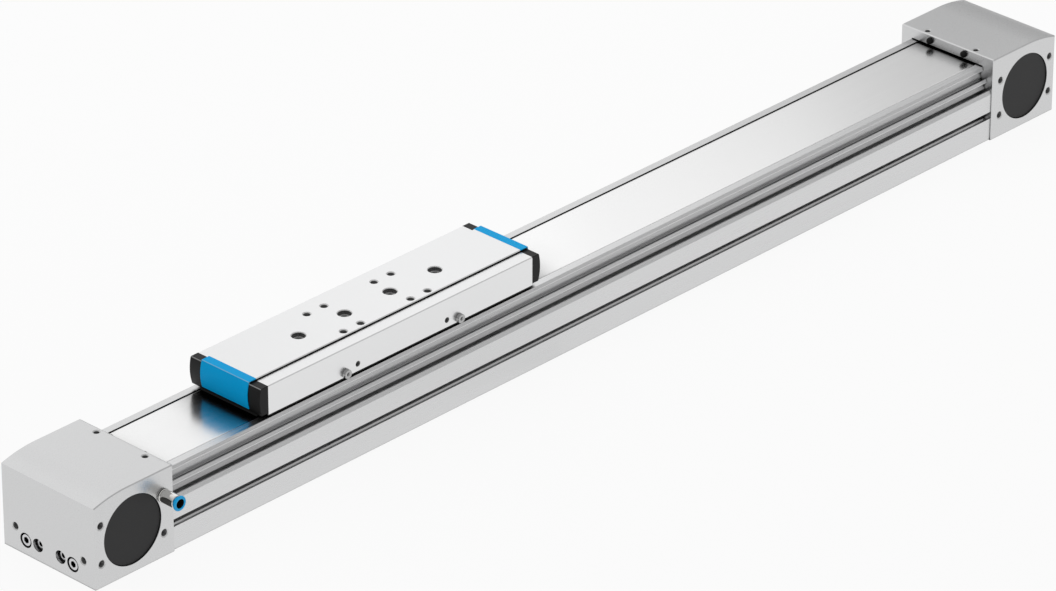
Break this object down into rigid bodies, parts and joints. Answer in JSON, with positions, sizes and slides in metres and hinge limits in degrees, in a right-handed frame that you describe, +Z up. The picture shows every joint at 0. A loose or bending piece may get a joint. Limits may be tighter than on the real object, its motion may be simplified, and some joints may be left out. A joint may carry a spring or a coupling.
{
  "type": "toothed belt linear axis",
  "caption": "Covered linear axis: a slide on an internal ball guide, pulled by a toothed belt between two end housings.",
  "frame": {"origin": "mid-length and mid-width of the axis, on the underside of the profile", "axes": "+X along the axis from the left to the right housing, +Z up, -Y towards the air fitting"},
  "size_m": [0.892, 0.0968, 0.0759],
  "materials": {
    "profile_aluminium": "satin",
    "housing_aluminium": "satin",
    "slide_aluminium": "satin",
    "pulley_aluminium": "satin",
    "ground_steel": "satin",
    "spring_steel": "satin",
    "screw_steel": "satin",
    "strip_steel": "satin",
    "nickel": "gloss",
    "cover_plastic": "matte",
    "cap_plastic": "satin",
    "blue_plastic": "satin",
    "buffer_rubber": "matte",
    "wiper_rubber": "matte",
    "belt_polyurethane": "matte"
  },
  "bodies": {
    "frame": {"profile": "profile_aluminium", "guide_rail": "ground_steel", "toothed_belt": "belt_polyurethane", "cover_strip_left": "strip_steel", "cover_strip_right": "strip_steel", "air_fitting": "nickel", "drive_housing_left": "housing_aluminium", "cover_disc_near_left": "cover_plastic", "cover_disc_far_left": "cover_plastic", "bearing_near_left": "ground_steel", "bearing_far_left": "ground_steel", "retaining_rings_left": "spring_steel", "end_screws_left": "screw_steel", "deep_screws_left": "screw_steel", "end_buffers_left": "buffer_rubber", "strip_clamp_pads_left": "screw_steel", "strip_set_screws_left": "screw_steel", "drive_housing_right": "housing_aluminium", "cover_disc_near_right": "cover_plastic", "cover_disc_far_right": "cover_plastic", "bearing_near_right": "ground_steel", "bearing_far_right": "ground_steel", "retaining_rings_right": "spring_steel", "end_screws_right": "screw_steel", "deep_screws_right": "screw_steel", "end_buffers_right": "buffer_rubber", "strip_clamp_pads_right": "screw_steel", "strip_set_screws_right": "screw_steel"},
    "pulley_left": {"pulley_left": "pulley_aluminium", "bearing_inner_rings_left": "ground_steel"},
    "pulley_right": {"pulley_right": "pulley_aluminium", "bearing_inner_rings_right": "ground_steel"},
    "slide": {"slide_body": "slide_aluminium", "cover_strip_bridge": "strip_steel", "grease_nipples": "nickel", "runner_block_left": "ground_steel", "runner_block_right": "ground_steel", "runner_end_caps_left": "cap_plastic", "runner_end_caps_right": "cap_plastic", "belt_clamp_left": "pulley_aluminium", "belt_clamp_right": "pulley_aluminium", "end_cap_left": "cap_plastic", "end_cap_right": "cap_plastic", "end_clip_left": "blue_plastic", "end_clip_right": "blue_plastic", "strip_wiper_left": "wiper_rubber", "strip_wiper_right": "wiper_rubber"},
    "release_ring": {"release_ring": "blue_plastic"}
  },
  "joints": [
    {"name": "slide_travel", "type": "slide", "parent": "frame", "child": "slide", "axis": [1, 0, 0], "range_m": [-0.0753, 0.4247], "deforming": ["toothed_belt", "cover_strip_left", "cover_strip_right"]},
    {"name": "pulley_left_turn", "type": "hinge", "parent": "frame", "child": "pulley_left", "pos_m": [-0.415, 0, 0.0294], "axis": [0, 1, 0], "range_deg": [-302, 1700]},
    {"name": "pulley_right_turn", "type": "hinge", "parent": "frame", "child": "pulley_right", "pos_m": [0.415, 0, 0.0294], "axis": [0, 1, 0], "range_deg": [-302, 1700]},
    {"name": "release_ring_press", "type": "slide", "parent": "frame", "child": "release_ring", "axis": [0, 1, 0], "range_m": [0, 0.001], "stiffness_N_per_m": 600}
  ],
  "couplings": [
    {"joint": "pulley_left_turn", "follows": "slide_travel", "rad_per_m": 69.813},
    {"joint": "pulley_right_turn", "follows": "slide_travel", "rad_per_m": 69.813}
  ]
}
